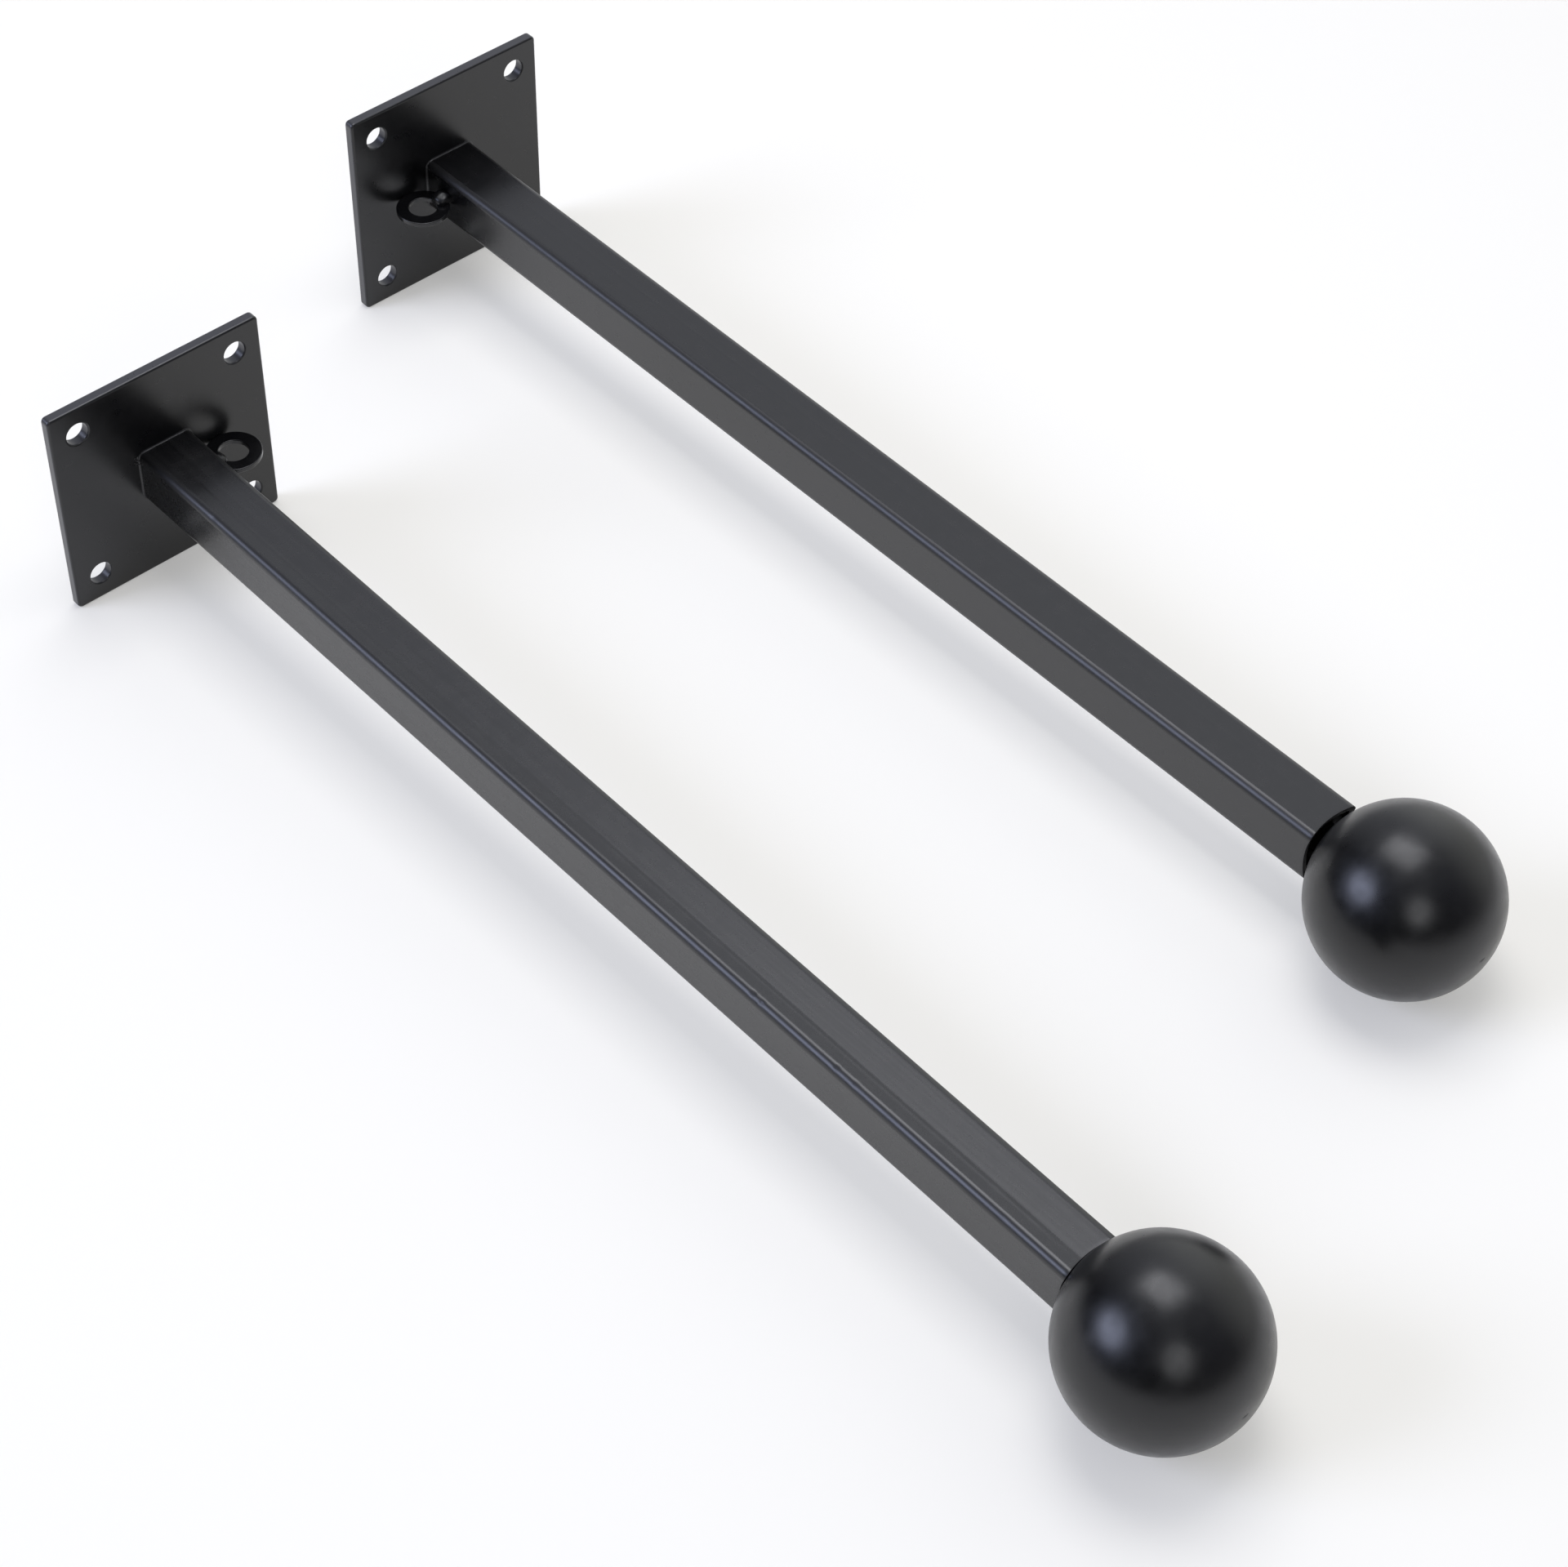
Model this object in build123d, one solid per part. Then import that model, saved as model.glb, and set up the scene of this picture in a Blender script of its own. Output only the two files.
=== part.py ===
from build123d import *
import os

# A pair of wall-mounted pull-up arms with ball grips, lying side by side. All sizes are in millimetres.
# The origin is the centre of the right plate's back face. The wall is the plane Y = 0, the arms reach
# along -Y, and +Z is up when the arms are on the wall.

# Wall plate
plate_side = 120.0
plate_thickness = 6.0
plate_corner_radius = 2.5
plate_edge_rounding = 1.3
hole_spacing = 90.0
hole_diameter = 12.0
hole_edge_rounding = 0.8

# Square tube
tube_side = 30.0
tube_wall = 3.0
tube_corner_radius = 4.0

# Weld round the foot of the tube
base_weld_leg = 1.0

# Anchor ring in the corner of plate and tube
ring_outer_diameter = 28.0
ring_inner_diameter = 15.0
ring_thickness = 2.5
ring_edge_rounding = 0.4
ring_bead_radius = 4.0
ring_bead_length = 11.0
ring_bead_standoff = 2.0

# Ball grip, with its reach from the plate's face to the centre of a ball that is pushed home. The right
# tube is cut further back from its ball than the left one.
ball_diameter = 88.9
ball_wall = 4.0
ball_reach = 670.0
right_saddle_gap = 2.8
left_saddle_gap = 0.6

# Spindle that carries the ball, with a ring groove for the retaining screw
spindle_diameter = 16.0
spindle_stub_in_ball = 20.0
spindle_end_chamfer = 1.0
groove_depth = 1.5
groove_play = 1.1
spindle_weld_leg = 2.0

# Plug in the mouth of the tube
plug_length = 44.0
plug_weld_leg = 2.5

# Retaining screw with a dog point
screw_diameter = 8.0
screw_recess = 0.5
dog_diameter = 5.5
hex_socket_width = 4.0
hex_socket_depth = 4.0

# Clearances
seat_clearance = 0.05
running_clearance = 0.05
plug_clearance = 0.1
screw_clearance = 0.3
inner_weld_clearance = 1.0
weld_toe = 0.3

# Where the left arm lies beside the right one
arm_spacing = 245.5
arm_stagger = 92.5

# Sizes that follow from the ones above
ball_radius = ball_diameter / 2
spindle_radius = spindle_diameter / 2
tube_inner_side = tube_side - 2 * tube_wall
tube_inner_radius = max(tube_corner_radius - tube_wall, weld_toe)
seat_distance = plate_thickness + ball_reach
ball_skin_distance = seat_distance - ball_radius
plug_front = ball_skin_distance - spindle_weld_leg - plug_weld_leg - inner_weld_clearance
plug_back = plug_front - plug_length
screw_distance = plug_back + plug_length / 2
ring_radius = ring_outer_diameter / 2
ring_distance = plate_thickness + ring_radius + seat_clearance
ring_offset = tube_side / 2 + ring_radius + seat_clearance

# Both arms lie on the lower edge of the plate and on the ball, so an arm that lies nearer to the
# front of the floor's slope also lies a little higher
floor_slope = (plate_side / 2 - ball_radius) / ball_reach
left_place = (-arm_spacing, -arm_stagger, arm_stagger * floor_slope)


# An arm is drawn along +Z, away from the wall, with +Y up, and laid along -Y at the end.
# The inner side is the side that faces the other arm: +1 is towards +X and -1 towards -X.
def square_prism(side, corner_radius, start, length):
    outline = RectangleRounded(side, side, corner_radius)
    return Pos(0, 0, start) * extrude(outline, length)


def square_taper(side, corner_radius, end_side, end_corner_radius, start, length):
    first = RectangleRounded(side, side, corner_radius)
    last = Pos(0, 0, length) * RectangleRounded(end_side, end_side, end_corner_radius)
    return Pos(0, 0, start) * loft([first, last])


def upright_cylinder(radius, top, bottom, distance):
    height = top - bottom
    return Pos(0, (top + bottom) / 2, distance) * Rot(90, 0, 0) * Cylinder(radius, height)


def bead(radius, length):
    straight = length - 2 * radius
    ends = [Pos(0, 0, straight / 2) * Sphere(radius), Pos(0, 0, -straight / 2) * Sphere(radius)]
    return Cylinder(radius, straight) + ends


def wall_plate():
    plate = Box(plate_side, plate_side, plate_thickness, align=(Align.CENTER, Align.CENTER, Align.MIN))
    plate = fillet(plate.edges().filter_by(Axis.Z), plate_corner_radius)
    rims = plate.faces().sort_by(Axis.Z)
    plate = fillet(rims[0].edges() + rims[-1].edges(), plate_edge_rounding)
    hole = Cylinder(hole_diameter / 2, plate_thickness, align=(Align.CENTER, Align.CENTER, Align.MIN))
    plate -= [place * hole for place in GridLocations(hole_spacing, hole_spacing, 2, 2)]
    hole_rims = plate.edges().filter_by(GeomType.CIRCLE).filter_by(lambda edge: edge.is_closed)
    return fillet(hole_rims, hole_edge_rounding)


def base_weld():
    foot = tube_side + 2 * base_weld_leg
    top = tube_side + 2 * weld_toe
    weld = square_taper(foot, tube_corner_radius + base_weld_leg, top, tube_corner_radius + weld_toe,
                        plate_thickness, base_weld_leg)
    return weld - square_prism(tube_side, tube_corner_radius, plate_thickness, base_weld_leg)


def square_tube(saddle_gap):
    tube = square_prism(tube_side, tube_corner_radius, plate_thickness, ball_reach)
    tube -= square_prism(tube_inner_side, tube_inner_radius, plate_thickness, ball_reach)
    tube -= Pos(0, 0, seat_distance) * Sphere(ball_radius + saddle_gap)
    screw_hole_radius = screw_diameter / 2 + screw_clearance
    return tube - upright_cylinder(screw_hole_radius, 0, -tube_side, screw_distance)


def anchor_ring(inner):
    ring = Cylinder(ring_radius, ring_thickness) - Cylinder(ring_inner_diameter / 2, ring_thickness)
    ring = fillet(ring.edges().filter_by(GeomType.CIRCLE), ring_edge_rounding)
    return Pos(inner * ring_offset, 0, ring_distance) * Rot(90, 0, 0) * ring


def ring_tube_weld(inner):
    offset = inner * (tube_side / 2 + ring_bead_standoff)
    weld = Pos(offset, ring_thickness / 2, ring_distance) * bead(ring_bead_radius, ring_bead_length)
    weld -= square_prism(tube_side, tube_corner_radius, plate_thickness, ball_reach)
    weld -= anchor_ring(inner)
    below_ring = Box(2 * ring_bead_length, 2 * ring_bead_radius, 2 * ring_bead_length,
                     align=(Align.CENTER, Align.MAX, Align.CENTER))
    return weld - Pos(offset, -ring_thickness / 2, ring_distance) * below_ring


def end_plug():
    side = tube_inner_side - 2 * plug_clearance
    plug = square_prism(side, tube_inner_radius, plug_back, plug_length)
    bore = Cylinder(spindle_radius + running_clearance, plug_length)
    plug -= Pos(0, 0, plug_back + plug_length / 2) * bore
    return plug - upright_cylinder(screw_diameter / 2, 0, -tube_side, screw_distance)


def plug_weld():
    weld = square_prism(tube_inner_side, tube_inner_radius, plug_front, plug_weld_leg)
    mouth = tube_inner_side - 2 * plug_weld_leg
    opening = tube_inner_side - 2 * weld_toe
    return weld - square_taper(mouth, weld_toe, opening, weld_toe, plug_front, plug_weld_leg)


def retaining_screw():
    head = -(tube_side / 2 - screw_recess)
    shoulder = -(spindle_radius + screw_clearance)
    tip = -(spindle_radius - groove_depth + screw_clearance)
    screw = upright_cylinder(screw_diameter / 2 - seat_clearance, shoulder, head, screw_distance)
    screw += upright_cylinder(dog_diameter / 2, tip, shoulder, screw_distance)
    socket_outline = RegularPolygon(hex_socket_width / 2, 6, major_radius=False)
    socket = Pos(0, head, screw_distance) * Rot(-90, 0, 0) * extrude(socket_outline, hex_socket_depth)
    return screw - socket


def ball_grip():
    ball = Sphere(ball_radius) - Sphere(ball_radius - ball_wall)
    entry_radius = spindle_radius + seat_clearance
    entry = Cylinder(entry_radius, ball_radius, align=(Align.CENTER, Align.CENTER, Align.MAX))
    return Pos(0, 0, seat_distance) * (ball - entry)


def ball_spindle():
    start = plug_back + spindle_end_chamfer
    end = ball_skin_distance + ball_wall + spindle_stub_in_ball
    spindle = Cylinder(spindle_radius, end - start, align=(Align.CENTER, Align.CENTER, Align.MIN))
    spindle = Pos(0, 0, start) * chamfer(spindle.edges().filter_by(GeomType.CIRCLE), spindle_end_chamfer)
    groove_width = dog_diameter + groove_play + 2 * screw_clearance
    groove = Cylinder(spindle_diameter, groove_width) - Cylinder(spindle_radius - groove_depth, groove_width)
    return spindle - Pos(0, 0, screw_distance - groove_play / 2) * groove


def spindle_weld():
    foot_radius = spindle_radius + spindle_weld_leg
    top_radius = spindle_radius + weld_toe
    top = ball_skin_distance - spindle_weld_leg
    foot = seat_distance - (ball_radius ** 2 - foot_radius ** 2) ** 0.5
    weld = Pos(0, 0, (top + foot) / 2) * Cone(top_radius, foot_radius, foot - top)
    weld -= Pos(0, 0, seat_distance) * Sphere(ball_radius)
    return weld - Pos(0, 0, top) * Cylinder(spindle_radius, 2 * ball_radius)


def arm_pieces(inner, saddle_gap):
    return {
        "wall_plate": wall_plate(),
        "base_weld": base_weld(),
        "square_tube": square_tube(saddle_gap),
        "anchor_ring": anchor_ring(inner),
        "ring_tube_weld": ring_tube_weld(inner),
        "end_plug": end_plug(),
        "plug_weld": plug_weld(),
        "retaining_screw": retaining_screw(),
    }


def ball_pieces():
    return {"ball_grip": ball_grip(), "ball_spindle": ball_spindle(), "spindle_weld": spindle_weld()}


# The left ball is pushed home, and the right ball stands out by the play of its groove
def write_arm(side, inner, place, pull, saddle_gap):
    lay_down = Pos(*place) * Plane.XZ.location
    for name, piece in arm_pieces(inner, saddle_gap).items():
        export_step(lay_down * piece, f"parts/{side}_{name}.step")
    for name, piece in ball_pieces().items():
        export_step(lay_down * Pos(0, 0, pull) * piece, f"parts/{side}_{name}.step")


os.makedirs("parts", exist_ok=True)
write_arm("right", -1, (0, 0, 0), groove_play, right_saddle_gap)
write_arm("left", 1, left_place, 0, left_saddle_gap)
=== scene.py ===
import math
import bmesh
import bpy
from mathutils import Matrix, Vector, noise


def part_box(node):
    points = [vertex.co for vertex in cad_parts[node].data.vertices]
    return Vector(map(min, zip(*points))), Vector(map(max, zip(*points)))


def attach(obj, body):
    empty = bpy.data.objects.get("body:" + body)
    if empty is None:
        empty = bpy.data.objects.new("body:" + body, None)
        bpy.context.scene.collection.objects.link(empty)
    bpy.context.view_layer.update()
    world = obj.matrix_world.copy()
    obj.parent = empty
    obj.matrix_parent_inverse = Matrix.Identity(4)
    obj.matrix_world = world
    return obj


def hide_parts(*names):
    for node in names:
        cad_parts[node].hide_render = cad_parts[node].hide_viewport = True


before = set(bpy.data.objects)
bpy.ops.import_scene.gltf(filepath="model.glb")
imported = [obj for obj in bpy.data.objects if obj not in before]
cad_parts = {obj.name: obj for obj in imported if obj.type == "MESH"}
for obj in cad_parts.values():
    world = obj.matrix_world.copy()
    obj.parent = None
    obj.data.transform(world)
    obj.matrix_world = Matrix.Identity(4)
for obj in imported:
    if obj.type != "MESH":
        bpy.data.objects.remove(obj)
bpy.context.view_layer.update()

mm = 0.001

# Which way along X the inner side of each arm faces, the side with the ring
inner_sign = {"right": -1, "left": 1}

# Square tube
tube_wall = 3 * mm
tube_corner_radius = 4 * mm
tube_rim_rounding = 0.4 * mm
saddle_gap = {"right": 2.8 * mm, "left": 0.6 * mm}
screw_hole_radius = 4.3 * mm

# Seam along the top of each tube, with its place across the top
seam_height = {"right": 0.03 * mm, "left": 0.05 * mm}
seam_width = {"right": 0.6 * mm, "left": 0.9 * mm}
seam_place = {"right": 2.5 * mm, "left": -5.3 * mm}

# Strip on top of the left tube that slopes down from its outer edge to a line just past the seam. The rest
# of the top lies lower by the same drop, which grows to its full size over a run from the plate.
strip_drop = 0.45 * mm
strip_run_in = 30 * mm
strip_inner_line = -4.0 * mm

# Dents in the outer upper edge of the left tube: distance from the plate, rise up the corner, depth, reach
left_edge_dents = (
    (58.8 * mm, math.radians(45), 0.12 * mm, 2.0 * mm),
    (442.5 * mm, math.radians(64), 0.22 * mm, 1.3 * mm),
    (448.5 * mm, math.radians(56), 0.24 * mm, 1.1 * mm),
    (494.5 * mm, math.radians(64), 0.22 * mm, 1.3 * mm),
    (506 * mm, math.radians(64), 0.14 * mm, 1.6 * mm),
    (594 * mm, math.radians(45), 0.10 * mm, 2.0 * mm),
)

# Drawing marks on top of the left tube: place across, start and end from the plate, depth
left_marks = (
    (-5.4 * mm, 23 * mm, 38 * mm, 0.035 * mm),
    (-3.7 * mm, 25 * mm, 37 * mm, 0.030 * mm),
    (-6.6 * mm, 30 * mm, 41 * mm, 0.020 * mm),
)
mark_width = 0.6 * mm
mark_fade = 2.5 * mm

# Points round a tube, and its rows of points: where each stretch ends from the plate and its row spacing.
# Rows lie closer where the left tube is dented, and the last ones by shares of the way to the saddle and by
# degrees round its rim.
tube_steps = {"flat_steps": 66, "corner_steps": 12}
tube_stretches = (
    (48 * mm, 2 * mm),
    (70 * mm, 1 * mm),
    (431 * mm, 6 * mm),
    (511 * mm, 0.7 * mm),
)
last_stretch_spacing = 3 * mm
screw_patch_reach = 6 * mm
screw_patch_spacing = 1 * mm
straight_past_patch = 2 * mm
saddle_shares = (0.4, 0.7, 0.9)
rim_angles = (0, 30, 60, 90)

# Weld round the foot of each tube. Ripples and lumps each change its leg by a share.
foot_weld_leg = 1.0 * mm
foot_weld_root = 0.3 * mm
foot_weld_ripple = 1.8 * mm
foot_weld_ripple_share = 0.10
foot_weld_lump = 5 * mm
foot_weld_lump_share = 0.25
foot_weld_steps = {"flat_steps": 66, "corner_steps": 16}
foot_weld_arc_steps = 7

# Weld between ring and tube, with the fineness and share of its lumps
nugget_radii = (5.0 * mm, 5.4 * mm, 3.5 * mm)
nugget_standoff = 2.8 * mm
nugget_lift = 2.4 * mm
nugget_shift = -1.9 * mm
nugget_ripple = 2.6 * mm
nugget_ripple_share = 0.012
nugget_lumps = ((1.3, 0.10), (4.0, 0.02))
nugget_end = -4.0 * mm
nugget_end_share = 0.25
nugget_columns, nugget_rows = 64, 40

# Spatter beside the foot weld of the left arm: across, up and size
left_spatter = (
    (-15.9 * mm, 13.2 * mm, 0.75 * mm),
    (-16.6 * mm, 12.1 * mm, 0.60 * mm),
    (-15.8 * mm, 11.2 * mm, 0.70 * mm),
    (-17.2 * mm, 13.4 * mm, 0.40 * mm),
    (-16.4 * mm, 9.9 * mm, 0.50 * mm),
    (-15.7 * mm, 8.6 * mm, 0.45 * mm),
    (-17.6 * mm, 10.8 * mm, 0.35 * mm),
)
spatter_fineness = 1.5
spatter_lump_share = 0.3
spatter_seed_scale = 1000
spatter_columns, spatter_rows = 16, 10

# Where the noise of each arm's welds starts
weld_seeds = {"right": Vector((2.3, 5.1, 3.7)), "left": Vector((7.9, 1.4, 8.2))}

# Edges that bend by more than this stay sharp
crease_angle = math.radians(50)

# Coat: its colour, the tint of its shine and a painted sheen, colour that lightens the edge faces of a plate
coat_dark = (0.0006, 0.0006, 0.0009)
coat_light = (0.0014, 0.0014, 0.0018)
coat_shine = (0.97, 0.975, 1.0)
painted_plate_edge_sheen = (0.03, 0.03, 0.034)

# Noise in the materials: fineness and detail, and the stretch of what runs in lines
coat_patches = (60, 3)
gloss_patches = (140, 4)
orange_peel = (380, 2)
fine_grain = (2600, 1)
steel_patches = (90, 4)
stretched_lines = (1.0, 3)
coat_streak_stretch = (420, 4, 420)
turning_stretch = (90, 2400, 90)
screw_stretch = (300, 300, 1500)

# Spans from none to full: of the noise, of a normal along the arm and of a normal round a corner
noise_span = (0.3, 0.7)
facing_span = (0.2, 0.8)
corner_span = (0.1, 0.4)

# Bare steel: its smoothest and roughest, and the depth of the marks from turning
steel_roughness = (0.30, 0.46)
steel_mark_depth = 0.01 * mm

# Where the photograph was taken from
camera_place = Vector((-0.891339, -1.241480, 1.167370))
camera_target = Vector((-0.158567, -0.449142, 0.0))
camera_roll = math.radians(1.431)
camera_lens = 81.771
sensor_width = 36.0

# Floor, which fades to grey between two distances along a heading, some way in front of the balls
floor_size = 12.0
floor_white = 0.98
floor_tint = Vector((1.0, 0.975, 0.91))
floor_glow = 0.30
floor_fade_from, floor_fade_to = 0.77, 1.18
floor_fade = 0.60
front_heading = Vector((0.349, -0.937, 0.0))

# Lamps: place or heading, width and height, brightness and colour
lit_spot = Vector((-0.12, -0.7, 0.0))
key_place = Vector((0.20, -0.03, 2.0))
key_size = (1.1, 1.55)
key_radiance = 3.6
key_colour = (1.0, 1.0, 1.02)
window_distance = 6.0
window_heading = (-122, 30)
window_size = (3.0, 2.4)
window_radiance = 5.6
window_spread_size = (4.6, 3.4)
window_spread_radiance = 2.2
window_colour = (0.86, 0.93, 1.21)
front_distance = 3.2
front_lamp_heading = (-33, 36)
front_size = (1.5, 1.9)
front_radiance = 2.1
front_colour = (1.0, 1.0, 1.0)

# Light from the room: azimuth and elevation, the cosines at which it starts and is full, and its colour. The
# first one comes from everywhere.
room_light = (
    ((0, 90), -3.0, -2.0, (0.03, 0.03, 0.035)),
    ((0, 90), 0.2, 1.0, (0.20, 0.21, 0.24)),
    ((0, 90), 0.75, 1.0, (0.19, 0.19, 0.19)),
    ((90, 10), 0.5, 1.0, (0.72, 0.73, 0.68)),
    ((138, 32), 0.6, 1.0, (0.54, 0.555, 0.60)),
    ((45, 15), 0.5, 1.0, (0.14, 0.14, 0.16)),
)


# Nodes of materials and world
def node_tree(owner):
    owner.use_nodes = True
    tree = owner.node_tree
    tree.nodes.clear()
    return tree


def add_node(tree, kind, **settings):
    node = tree.nodes.new(kind)
    for name, value in settings.items():
        setattr(node, name, value)
    return node


def set_inputs(node, **values):
    for name, value in values.items():
        node.inputs[name.replace("_", " ")].default_value = value
    return node


# Fills the inputs of a node in order: another node's output is linked, and a plain value is set
def filled(tree, node, *values):
    for socket, value in zip(node.inputs, values):
        if isinstance(value, bpy.types.NodeSocket):
            tree.links.new(value, socket)
        else:
            socket.default_value = value
    return node


def math_of(tree, operation, *values):
    node = add_node(tree, "ShaderNodeMath", operation=operation)
    return filled(tree, node, *values).outputs["Value"]


def vector_of(tree, operation, *values):
    node = add_node(tree, "ShaderNodeVectorMath", operation=operation)
    return filled(tree, node, *values).outputs["Vector"]


# How far a vector reaches along an axis
def reach_along(tree, vector, axis):
    node = add_node(tree, "ShaderNodeVectorMath", operation="DOT_PRODUCT")
    return filled(tree, node, vector, axis).outputs["Value"]


# Value that goes from low to high while the given one goes through its span
def ranged(tree, value, span, low, high, **settings):
    ramp = add_node(tree, "ShaderNodeMapRange", **settings)
    set_inputs(ramp, From_Min=span[0], From_Max=span[1], To_Min=low, To_Max=high)
    tree.links.new(value, ramp.inputs["Value"])
    return ramp.outputs["Result"]


def noise_of(tree, place, scale, detail, stretch=None):
    texture = set_inputs(add_node(tree, "ShaderNodeTexNoise"), Scale=scale, Detail=detail)
    source = place.outputs["Object"]
    if stretch is not None:
        mapping = set_inputs(add_node(tree, "ShaderNodeMapping"), Scale=stretch)
        tree.links.new(source, mapping.inputs["Vector"])
        source = mapping.outputs["Vector"]
    tree.links.new(source, texture.inputs["Vector"])
    return texture.outputs["Fac"]


def tinted(tree, value, dark, light):
    ramp = add_node(tree, "ShaderNodeValToRGB")
    for stop, position, colour in zip(ramp.color_ramp.elements, noise_span, (dark, light)):
        stop.position = position
        stop.color = (*colour, 1)
    tree.links.new(value, ramp.inputs["Fac"])
    return ramp.outputs["Color"]


def bumped(tree, height, depth, before=None):
    bump = set_inputs(add_node(tree, "ShaderNodeBump"), Strength=1.0, Distance=depth)
    tree.links.new(height, bump.inputs["Height"])
    if before is not None:
        tree.links.new(before, bump.inputs["Normal"])
    return bump.outputs["Normal"]


# Colour with a share of some more light added to it
def lightened(tree, colour, share, extra):
    return vector_of(tree, "MULTIPLY_ADD", share, extra, colour)


def normal_parts(tree, place):
    parts = add_node(tree, "ShaderNodeSeparateXYZ")
    tree.links.new(place.outputs["Normal"], parts.inputs["Vector"])
    return parts.outputs


# One value where the surface faces along the arm and another where it faces sideways
def by_facing(tree, place, along, sideways):
    lengthwise = math_of(tree, "ABSOLUTE", normal_parts(tree, place)["Y"])
    return ranged(tree, lengthwise, facing_span, sideways, along)


# Nothing on the flats of a square tube and the full value round its corners
def by_corner(tree, place, full):
    parts = normal_parts(tree, place)
    product = math_of(tree, "MULTIPLY", parts["X"], parts["Z"])
    return ranged(tree, math_of(tree, "ABSOLUTE", product), corner_span, 0.0, full)


def show_surface(tree, shader, kind="ShaderNodeOutputMaterial"):
    output = add_node(tree, kind)
    tree.links.new(shader.outputs[0], output.inputs["Surface"])


def finish_shader(tree, shader, colour, roughness, normal):
    tree.links.new(colour, shader.inputs["Base Color"])
    tree.links.new(roughness, shader.inputs["Roughness"])
    tree.links.new(normal, shader.inputs["Normal"])
    show_surface(tree, shader)


# Near-black coat: peel, grain and streaks are depths, rub is how much lighter the streaks are, head_on is
# the share of the shine that is left when looked at head on, edge is a painted sheen, colour added to
# lighten the edge faces of a plate, and rim and corner are how much duller a tube is at its cut ends and
# round its corners
def coat_material(name, roughness, peel, grain, streaks=0.0, rub=0.0, index=1.55, head_on=1.0, edge=None,
                  rim=0.0, corner=0.0):
    material = bpy.data.materials.new(name)
    tree = node_tree(material)
    place = add_node(tree, "ShaderNodeTexCoord")
    shader = set_inputs(add_node(tree, "ShaderNodeBsdfPrincipled"), IOR=index)
    set_inputs(shader, Specular_Tint=(*(part * head_on for part in coat_shine), 1))
    colour = tinted(tree, noise_of(tree, place, *coat_patches), coat_dark, coat_light)
    dullness = ranged(tree, noise_of(tree, place, *gloss_patches), noise_span, *roughness)
    # Painted sheen: the edge faces of a plate get a lighter colour that stands in for reflected light
    if edge is not None:
        colour = lightened(tree, colour, by_facing(tree, place, 0.0, 1.0), edge)
    if rim:
        dullness = math_of(tree, "ADD", dullness, by_facing(tree, place, rim, 0.0))
    if corner:
        dullness = math_of(tree, "ADD", dullness, by_corner(tree, place, corner))
    normal = bumped(tree, noise_of(tree, place, *orange_peel), peel)
    normal = bumped(tree, noise_of(tree, place, *fine_grain), grain, normal)
    if streaks:
        lines = noise_of(tree, place, *stretched_lines, coat_streak_stretch)
        normal = bumped(tree, lines, streaks, normal)
        colour = lightened(tree, colour, ranged(tree, lines, noise_span, 0.0, 1.0), (rub, rub, rub))
    finish_shader(tree, shader, colour, dullness, normal)
    return material


def steel_material(name, dark, light, stretch):
    material = bpy.data.materials.new(name)
    tree = node_tree(material)
    place = add_node(tree, "ShaderNodeTexCoord")
    shader = set_inputs(add_node(tree, "ShaderNodeBsdfPrincipled"), Metallic=1.0)
    colour = tinted(tree, noise_of(tree, place, *steel_patches), dark, light)
    marks = noise_of(tree, place, *stretched_lines, stretch)
    dullness = ranged(tree, marks, noise_span, *steel_roughness)
    finish_shader(tree, shader, colour, dullness, bumped(tree, marks, steel_mark_depth))
    return material


# Materials
smooth_finish = {"peel": 0.003 * mm, "grain": 0.0006 * mm}
tube_finish = {**smooth_finish, "index": 1.62, "rim": 0.5}
plate_coat = coat_material("plate_coat", roughness=(0.27, 0.31), **smooth_finish, edge=painted_plate_edge_sheen)
tube_coats = {
    "right": coat_material("right_tube_coat", roughness=(0.24, 0.28), **tube_finish,
                           streaks=0.02 * mm, rub=0.0015, corner=0.14),
    "left": coat_material("left_tube_coat", roughness=(0.25, 0.29), **tube_finish,
                          streaks=0.03 * mm, rub=0.005, corner=0.10),
}
ring_coat = coat_material("ring_coat", roughness=(0.20, 0.28), peel=0.004 * mm, grain=0.0008 * mm)
weld_coat = coat_material("weld_coat", roughness=(0.30, 0.42), peel=0.012 * mm, grain=0.0010 * mm)
ball_coat = coat_material("ball_coat", roughness=(0.27, 0.35), peel=0.006 * mm, grain=0.0010 * mm,
                          index=1.6, head_on=0.80)
turned_steel = steel_material("turned_steel", dark=(0.03, 0.03, 0.033), light=(0.06, 0.06, 0.064),
                              stretch=turning_stretch)
screw_steel = steel_material("screw_steel", dark=(0.04, 0.04, 0.044), light=(0.09, 0.09, 0.094),
                             stretch=screw_stretch)

node_materials = {
    "wall_plate": plate_coat,
    "anchor_ring": ring_coat,
    "ball_grip": ball_coat,
    "end_plug": turned_steel,
    "ball_spindle": turned_steel,
    "plug_weld": weld_coat,
    "spindle_weld": weld_coat,
    "retaining_screw": screw_steel,
}
for name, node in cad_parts.items():
    kind = name.split("_", 1)[1]
    if kind in node_materials:
        node.material_slots[0].material = node_materials[kind]


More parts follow.
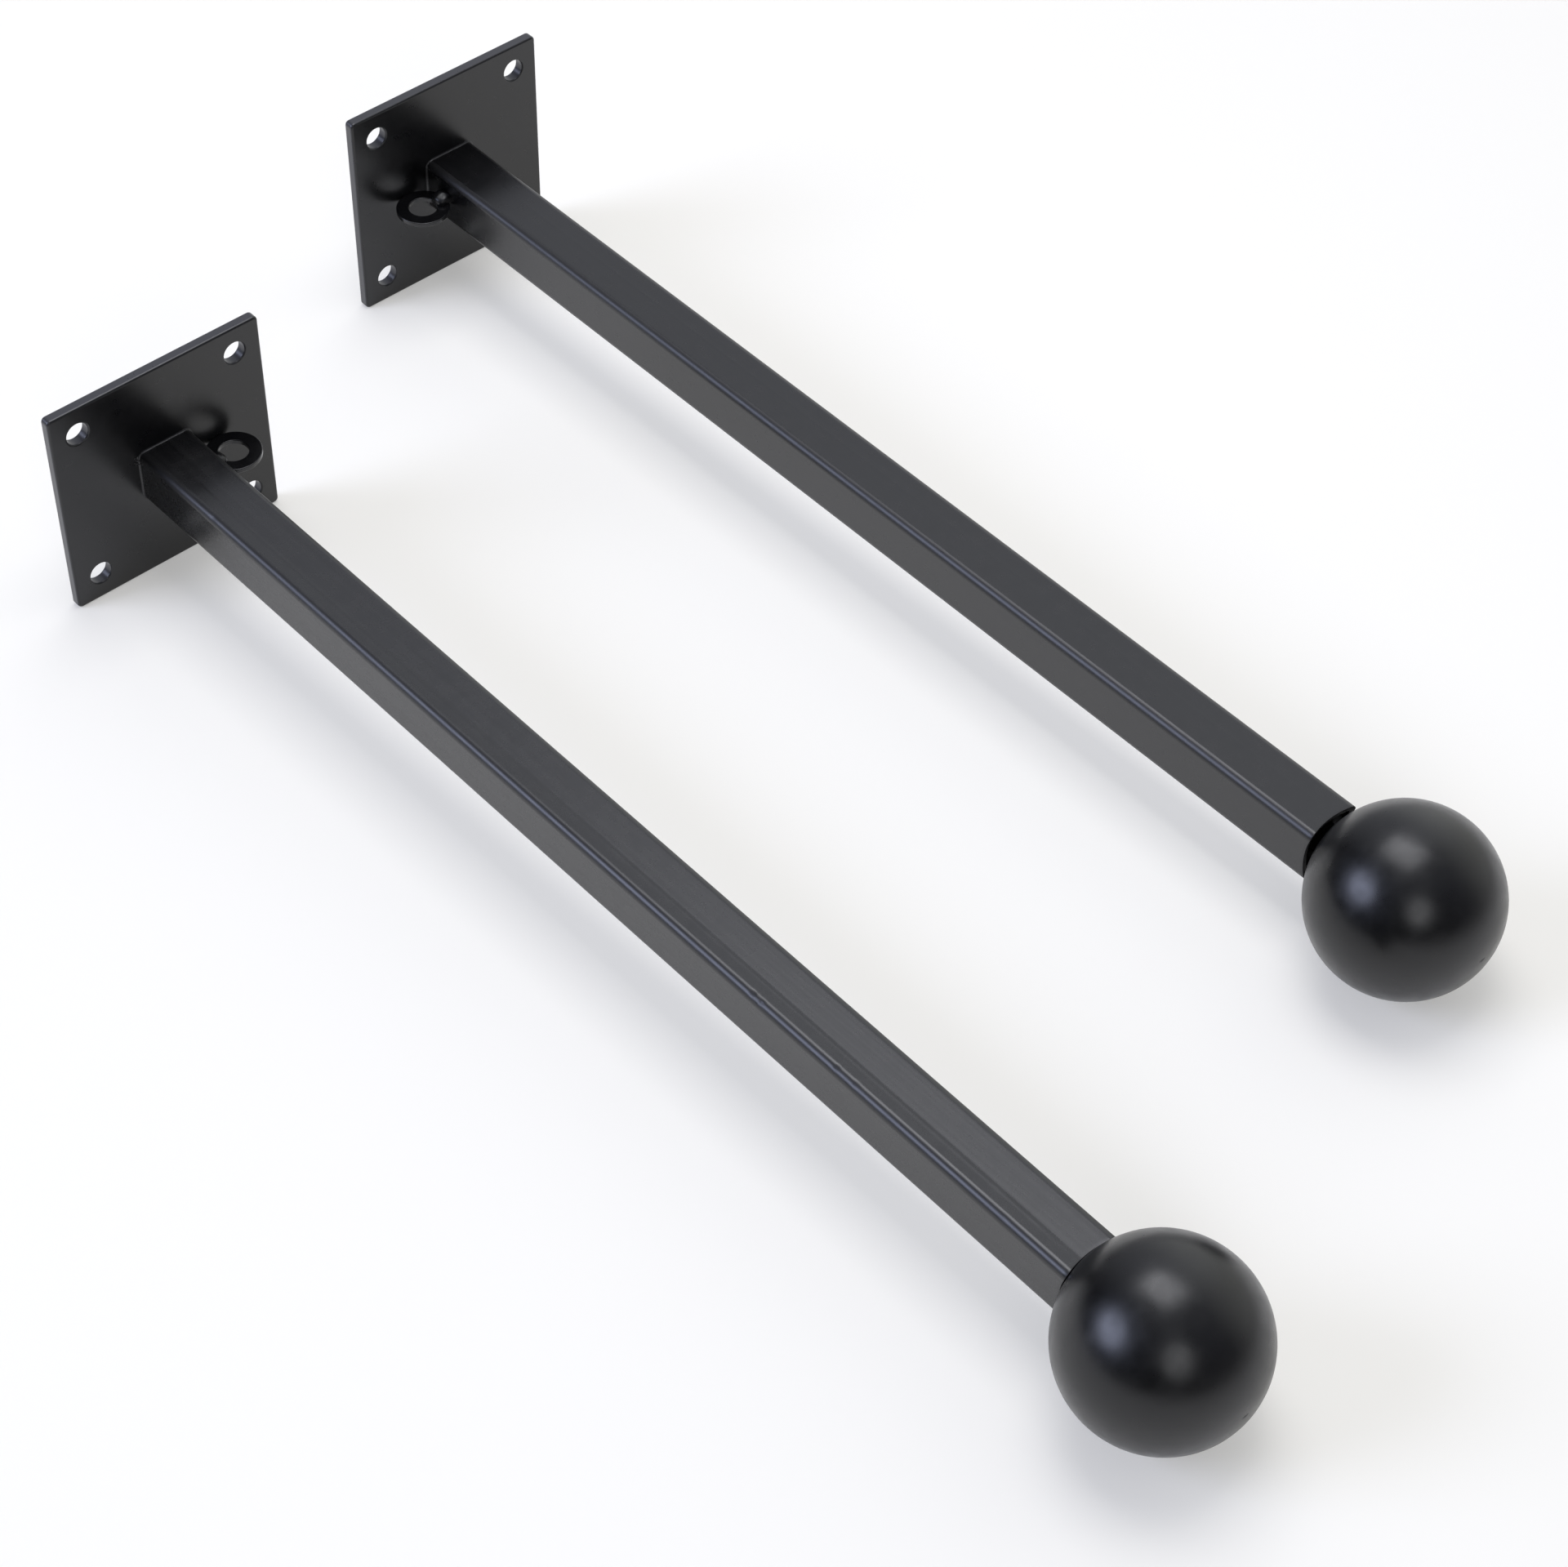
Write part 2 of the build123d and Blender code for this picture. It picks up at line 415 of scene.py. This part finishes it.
# Sizes of each arm, taken from its solids. Face is the centre of the plate's front and half is half the
# side of the tube.
class Arm:
    def __init__(self, side):
        plate_low, plate_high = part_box(f"{side}_wall_plate")
        tube_low, tube_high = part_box(f"{side}_square_tube")
        ball_low, ball_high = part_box(f"{side}_ball_grip")
        screw_low, screw_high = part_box(f"{side}_retaining_screw")
        ring_low, ring_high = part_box(f"{side}_anchor_ring")
        self.side = side
        self.face = Vector(((plate_low.x + plate_high.x) / 2, plate_low.y, (plate_low.z + plate_high.z) / 2))
        self.half = (tube_high.x - tube_low.x) / 2
        self.ball_radius = (ball_high.x - ball_low.x) / 2
        self.ball_distance = self.face.y - (ball_low.y + ball_high.y) / 2
        self.screw_distance = self.face.y - (screw_low.y + screw_high.y) / 2
        self.ring_centre = (ring_low + ring_high) / 2

    # Point at a spot of the cross section, that far out from the plate
    def point(self, spot, distance):
        return self.face + Vector((spot.x, -distance, spot.y))


# The left ball is pushed home, and both saddles are cut about the centre of a ball that is
arms = {side: Arm(side) for side in inner_sign}
home_distance = arms["left"].ball_distance


# Shapes, as lists of points and faces

# Even distances from start up to stop, without stop itself
def spaced(start, stop, step):
    count = max(1, round((stop - start) / step))
    return [start + (stop - start) * k / count for k in range(count)]


# Square with rounded corners, anticlockwise from the lower end of its +X side
def square_outline(half, radius, flat_steps, corner_steps):
    flat = half - radius
    points = []
    for quarter in range(4):
        turn = quarter * math.pi / 2
        out = Vector((math.cos(turn), math.sin(turn)))
        along = Vector((-math.sin(turn), math.cos(turn)))
        for step in range(flat_steps):
            points.append(out * half + along * flat * (2 * step / flat_steps - 1))
        for step in range(corner_steps):
            angle = turn + step / corner_steps * math.pi / 2
            points.append((out + along) * flat + radius * Vector((math.cos(angle), math.sin(angle))))
    return points


# Faces of rows of points that close on themselves both ways
def ring_faces(rows, columns, skipped=()):
    faces = []
    for row in range(rows):
        start, next_start = row * columns, (row + 1) % rows * columns
        for column in range(columns):
            if (row, column) not in skipped:
                after = (column + 1) % columns
                faces.append((start + column, start + after, next_start + after, next_start + column))
    return faces


# Closed lump whose skin lies at reach(heading) from its centre
def blob(centre, reach, columns, rows):
    points = [centre + reach(Vector((0, 0, 1)))]
    for row in range(1, rows):
        lean = math.pi * row / rows
        level, rise = math.sin(lean), math.cos(lean)
        for column in range(columns):
            turn = 2 * math.pi * column / columns
            heading = Vector((level * math.cos(turn), level * math.sin(turn), rise))
            points.append(centre + reach(heading))
    points.append(centre + reach(Vector((0, 0, -1))))
    last = len(points) - 1
    faces = []
    for column in range(columns):
        after = (column + 1) % columns
        faces.append((0, 1 + column, 1 + after))
        faces.append((last, last - columns + after, last - columns + column))
        for row in range(rows - 2):
            start = 1 + row * columns
            faces.append((start + column, start + columns + column, start + columns + after, start + after))
    return points, faces


def joined(shapes):
    points, faces = [], []
    for more_points, more_faces in shapes:
        first = len(points)
        points += more_points
        faces += [tuple(first + index for index in face) for face in more_faces]
    return points, faces


def make_piece(name, shape, material, side, node):
    points, faces = shape
    mesh = bpy.data.meshes.new(name)
    mesh.from_pydata([tuple(point) for point in points], [], faces)
    shell = bmesh.new()
    shell.from_mesh(mesh)
    bmesh.ops.recalc_face_normals(shell, faces=shell.faces)
    shell.to_mesh(mesh)
    shell.free()
    mesh.materials.append(material)
    mesh.shade_smooth()
    mesh.set_sharp_from_angle(angle=crease_angle)
    piece = bpy.data.objects.new(name, mesh)
    bpy.context.scene.collection.objects.link(piece)
    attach(piece, f"{side}_arm")
    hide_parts(f"{side}_{node}")


def clamped(share):
    return min(max(share, 0.0), 1.0)


# How far the skin of the tube stands over its plain section: its seam, less its dents and drawing marks
def skin_lift(arm, spot, distance):
    on_top = spot.y > arm.half - tube_corner_radius / 2
    lift = 0.0
    if on_top:
        across = (spot.x - seam_place[arm.side]) / seam_width[arm.side]
        lift += seam_height[arm.side] * math.exp(-across ** 2)
    if arm.side == "left":
        arc_centre = Vector((-1, 1)) * (arm.half - tube_corner_radius)
        for dent_distance, rise, depth, reach in left_edge_dents:
            dent = arc_centre + tube_corner_radius * Vector((-math.cos(rise), math.sin(rise)))
            away = (spot - dent).length_squared + (distance - dent_distance) ** 2
            lift -= depth * math.exp(-away / reach ** 2)
        if on_top:
            for place, start, end, depth in left_marks:
                across = math.exp(-((spot.x - place) / mark_width) ** 2)
                into = min(distance - start, end - distance) / mark_fade
                lift -= depth * across * clamped(into)
    return lift


# How far the top of the left tube lies below a true square
def top_drop(arm, spot, distance):
    flat = arm.half - tube_corner_radius
    if arm.side != "left" or spot.y <= flat:
        return 0.0
    across = (spot.x + flat) / (strip_inner_line + flat)
    height = min((spot.y - flat) / tube_corner_radius, 1.0)
    return strip_drop * clamped(across) * height * min(distance / strip_run_in, 1.0)


# Indexes of the points round a patch of rows and columns
def patch_border(lines, patch_columns, columns):
    first, last = patch_columns.start, patch_columns.stop
    border = [(lines[0], column) for column in range(first, last)]
    border += [(line, last) for line in lines[:-1]]
    border += [(lines[-1], column) for column in range(last, first, -1)]
    border += [(line, first) for line in lines[:0:-1]]
    return [line * columns + column for line, column in border]


# Adds a point on the screw hole for each point of a patch's border
def add_hole_circle(arm, points, border):
    middle = arm.point(Vector((0, 0)), arm.screw_distance)
    first = len(points)
    for index in border:
        away = Vector((points[index].x - middle.x, points[index].y - middle.y, 0)).normalized()
        points.append(Vector((middle.x, middle.y, points[index].z)) + away * screw_hole_radius)
    return list(range(first, len(points)))


def bridge(faces, one, two):
    for k in range(len(one)):
        faces.append((one[k - 1], one[k], two[k], two[k - 1]))


# Skin, saddle rim and bore of the tube in one closed surface, with the screw hole through its underside
def tube_shape(arm):
    saddle_radius = arm.ball_radius + saddle_gap[arm.side]
    skin = square_outline(arm.half, tube_corner_radius, **tube_steps)
    bore = square_outline(arm.half - tube_wall, tube_corner_radius - tube_wall, **tube_steps)
    patch_start = arm.screw_distance - screw_patch_reach
    patch_end = arm.screw_distance + screw_patch_reach
    straight_end = patch_end + straight_past_patch

    def end_distance(spot):
        return home_distance - math.sqrt(saddle_radius ** 2 - spot.length_squared)

    def skin_point(spot, distance):
        return arm.point(spot - Vector((0, top_drop(arm, spot, distance))), distance)

    def lifted_point(spot, distance):
        return skin_point(spot + spot.normalized() * skin_lift(arm, spot, distance), distance)

    def point_toward_saddle(spot, share):
        return skin_point(spot, straight_end + share * (end_distance(spot) - straight_end))

    patch = spaced(patch_start, patch_end, screw_patch_spacing) + [patch_end]
    skin_distances = []
    stretch_start = 0.0
    for stretch_end, spacing in (*tube_stretches, (patch_start, last_stretch_spacing)):
        skin_distances += spaced(stretch_start, stretch_end, spacing)
        stretch_start = stretch_end
    patch_line = len(skin_distances)
    skin_distances += patch + [straight_end]
    bore_distances = [0.0] + patch + [straight_end]

    rows = [[lifted_point(spot, distance) for spot in skin] for distance in skin_distances]
    rows += [[point_toward_saddle(spot, share) for spot in skin] for share in saddle_shares]
    for angle in rim_angles:
        inset = tube_rim_rounding * (1 - math.cos(math.radians(angle)))
        back = tube_rim_rounding * (1 - math.sin(math.radians(angle)))
        rim = square_outline(arm.half - inset, tube_corner_radius - inset, **tube_steps)
        rows.append([skin_point(spot, end_distance(spot) - back) for spot in rim])
    rows.append([arm.point(spot, end_distance(spot)) for spot in bore])
    bore_line = len(rows)
    rows += [[arm.point(spot, distance) for spot in bore] for distance in reversed(bore_distances)]

    # The underside is the fourth side of the outline, and the rows of the bore run back to the plate
    columns = len(skin)
    flat_steps = tube_steps["flat_steps"]
    patch_half = round(screw_patch_reach / (arm.half - tube_corner_radius) * flat_steps / 2)
    under_middle = columns * 3 // 4 + flat_steps // 2
    patch_columns = range(under_middle - patch_half, under_middle + patch_half)
    skin_lines = [patch_line + k for k in range(len(patch))]
    bore_lines = [bore_line + len(patch) - k for k in range(len(patch))]
    open_lines = skin_lines[:-1] + bore_lines[1:]
    skipped = {(line, column) for line in open_lines for column in patch_columns}
    points = [spot for line in rows for spot in line]
    faces = ring_faces(len(rows), columns, skipped)

    skin_border = patch_border(skin_lines, patch_columns, columns)
    bore_border = patch_border(bore_lines, patch_columns, columns)
    skin_circle = add_hole_circle(arm, points, skin_border)
    bore_circle = add_hole_circle(arm, points, bore_border)
    bridge(faces, skin_border, skin_circle)
    bridge(faces, skin_circle, bore_circle)
    bridge(faces, bore_circle, bore_border)
    return points, faces


# Thin rippled fillet round the foot of the tube
def foot_weld_shape(arm, seed):
    inside = square_outline(arm.half, tube_corner_radius, **foot_weld_steps)
    outside = square_outline(arm.half + foot_weld_leg, tube_corner_radius + foot_weld_leg, **foot_weld_steps)
    travelled = 0.0
    legs = []
    for k, spot in enumerate(inside):
        travelled += (spot - inside[k - 1]).length
        ripple = foot_weld_ripple_share * math.sin(2 * math.pi * travelled / foot_weld_ripple)
        lumps = foot_weld_lump_share * noise.noise(Vector((spot.x, spot.y, 0)) / foot_weld_lump + seed)
        legs.append(1 + ripple + lumps)
    profile = []
    for step in range(foot_weld_arc_steps + 1):
        angle = math.pi / 2 * step / foot_weld_arc_steps
        profile.append((1 - math.sin(angle), 1 - math.cos(angle)))
    root = -foot_weld_root / foot_weld_leg
    profile.append((root, root))
    rows = [[arm.point(near + (far - near) * out * leg, up * leg * foot_weld_leg)
             for near, far, leg in zip(inside, outside, legs)] for out, up in profile]
    return [spot for line in rows for spot in line], ring_faces(len(rows), len(inside))


def spatter_shape(arm, across, up, size):
    seed = Vector((across, up, 0)) * spatter_seed_scale

    def reach(heading):
        return heading * size * (1 + spatter_lump_share * noise.noise(heading * spatter_fineness + seed))

    return blob(arm.point(Vector((across, up)), 0.0), reach, spatter_columns, spatter_rows)


# Short uneven weld between ring and tube, with a flat crater at its end away from the plate
def nugget_shape(arm, seed):
    out = inner_sign[arm.side] * (arm.half + nugget_standoff)
    centre = Vector((arm.face.x + out, arm.ring_centre.y + nugget_shift, arm.ring_centre.z + nugget_lift))
    wide, long, high = nugget_radii

    def reach(heading):
        lumps = sum(share * noise.noise(heading * fineness + seed) for fineness, share in nugget_lumps)
        ripple = nugget_ripple_share * math.cos(2 * math.pi * heading.y * long / nugget_ripple)
        spot = Vector((heading.x * wide, heading.y * long, heading.z * high)) * (1 + lumps + ripple)
        if spot.y < nugget_end:
            spot.y = nugget_end + nugget_end_share * (spot.y - nugget_end)
        return spot

    return blob(centre, reach, nugget_columns, nugget_rows)


# Pieces that replace solids of each arm
for side, arm in arms.items():
    seed = weld_seeds[side]
    make_piece(f"{side}_tube", tube_shape(arm), tube_coats[side], side, "square_tube")
    foot_weld = [foot_weld_shape(arm, seed)]
    if side == "left":
        foot_weld += [spatter_shape(arm, *drop) for drop in left_spatter]
    make_piece(f"{side}_foot_weld", joined(foot_weld), weld_coat, side, "base_weld")
    make_piece(f"{side}_ring_weld", nugget_shape(arm, seed), weld_coat, side, "ring_tube_weld")


# Floor, lights and camera

# Heading at an azimuth, counted from -Y towards +X, and an elevation, both in degrees
def direction(azimuth, elevation):
    turn, rise = math.radians(azimuth), math.radians(elevation)
    return Vector((math.sin(turn) * math.cos(rise), -math.cos(turn) * math.cos(rise), math.sin(rise)))


# White that glows a little where it is seen straight or in a reflection, so that it reads as white
def floor_material():
    material = bpy.data.materials.new("floor_white")
    tree = node_tree(material)
    place = add_node(tree, "ShaderNodeNewGeometry")
    ahead = reach_along(tree, place.outputs["Position"], front_heading)
    shade = ranged(tree, ahead, (floor_fade_from, floor_fade_to), floor_white, floor_white * floor_fade,
                   interpolation_type="SMOOTHSTEP")
    path = add_node(tree, "ShaderNodeLightPath")
    seen = math_of(tree, "MAXIMUM", path.outputs["Is Camera Ray"], path.outputs["Is Glossy Ray"])
    seen = math_of(tree, "MAXIMUM", seen, path.outputs["Is Transmission Ray"])
    share = math_of(tree, "MULTIPLY", seen, floor_glow)
    diffuse = add_node(tree, "ShaderNodeBsdfDiffuse")
    tree.links.new(vector_of(tree, "MULTIPLY", shade, floor_tint), diffuse.inputs["Color"])
    glow = set_inputs(add_node(tree, "ShaderNodeEmission"), Strength=1.0)
    tree.links.new(shade, glow.inputs["Color"])
    mix = filled(tree, add_node(tree, "ShaderNodeMixShader"), share, diffuse.outputs[0], glow.outputs[0])
    show_surface(tree, mix)
    return material


# The floor touches the lower front edges of the plates and the undersides of the balls
def make_floor():
    plate_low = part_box("right_wall_plate")[0]
    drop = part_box("right_ball_grip")[0].z - plate_low.z
    slope = math.asin(drop / arms["right"].ball_distance)
    half = floor_size / 2
    corners = [(-half, -half, 0), (half, -half, 0), (half, half, 0), (-half, half, 0)]
    mesh = bpy.data.meshes.new("floor")
    mesh.from_pydata(corners, [], [(0, 1, 2, 3)])
    mesh.materials.append(floor_material())
    floor = bpy.data.objects.new("floor", mesh)
    floor.matrix_world = Matrix.Translation((0, plate_low.y, plate_low.z)) @ Matrix.Rotation(-slope, 4, "X")
    bpy.context.scene.collection.objects.link(floor)


def softbox(name, place, target, size, radiance, colour, shape="RECTANGLE"):
    light = bpy.data.lights.new(name, "AREA")
    light.shape = shape
    light.size, light.size_y = size
    area = size[0] * size[1] * (math.pi / 4 if shape == "ELLIPSE" else 1)
    light.energy = radiance * math.pi * area
    light.color = colour
    lamp = bpy.data.objects.new(name, light)
    lamp.location = place
    lamp.rotation_mode = "QUATERNION"
    lamp.rotation_quaternion = (target - place).to_track_quat("-Z", "Y")
    bpy.context.scene.collection.objects.link(lamp)


# One overhead lamp, a window with a wider and dimmer one round it, and a small lamp in front
def make_lamps():
    under_key = key_place + Vector((0, 0, -1))
    window_place = lit_spot + window_distance * direction(*window_heading)
    front_place = lit_spot + front_distance * direction(*front_lamp_heading)
    softbox("key", key_place, under_key, key_size, key_radiance, key_colour)
    softbox("window", window_place, lit_spot, window_size, window_radiance, window_colour, "ELLIPSE")
    softbox("window_spread", window_place, lit_spot, window_spread_size, window_spread_radiance,
            window_colour, "ELLIPSE")
    softbox("front", front_place, lit_spot, front_size, front_radiance, front_colour, "ELLIPSE")


def make_world():
    world = bpy.data.worlds.new("studio")
    bpy.context.scene.world = world
    tree = node_tree(world)
    place = add_node(tree, "ShaderNodeTexCoord")
    total = (0, 0, 0)
    for heading, start, full, colour in room_light:
        toward = reach_along(tree, place.outputs["Generated"], direction(*heading))
        share = ranged(tree, toward, (start, full), 0.0, 1.0, interpolation_type="SMOOTHSTEP")
        total = lightened(tree, total, share, colour)
    background = add_node(tree, "ShaderNodeBackground")
    tree.links.new(total, background.inputs["Color"])
    show_surface(tree, background, "ShaderNodeOutputWorld")


def make_camera():
    data = bpy.data.cameras.new("camera")
    data.lens = camera_lens
    data.sensor_width = sensor_width
    camera = bpy.data.objects.new("camera", data)
    camera.location = camera_place
    look = (camera_target - camera_place).to_track_quat("-Z", "Y")
    camera.rotation_mode = "QUATERNION"
    camera.rotation_quaternion = look @ Matrix.Rotation(camera_roll, 4, "Z").to_quaternion()
    bpy.context.scene.collection.objects.link(camera)
    bpy.context.scene.camera = camera


make_floor()
make_world()
make_camera()
make_lamps()
bpy.context.scene.view_settings.view_transform = "Standard"
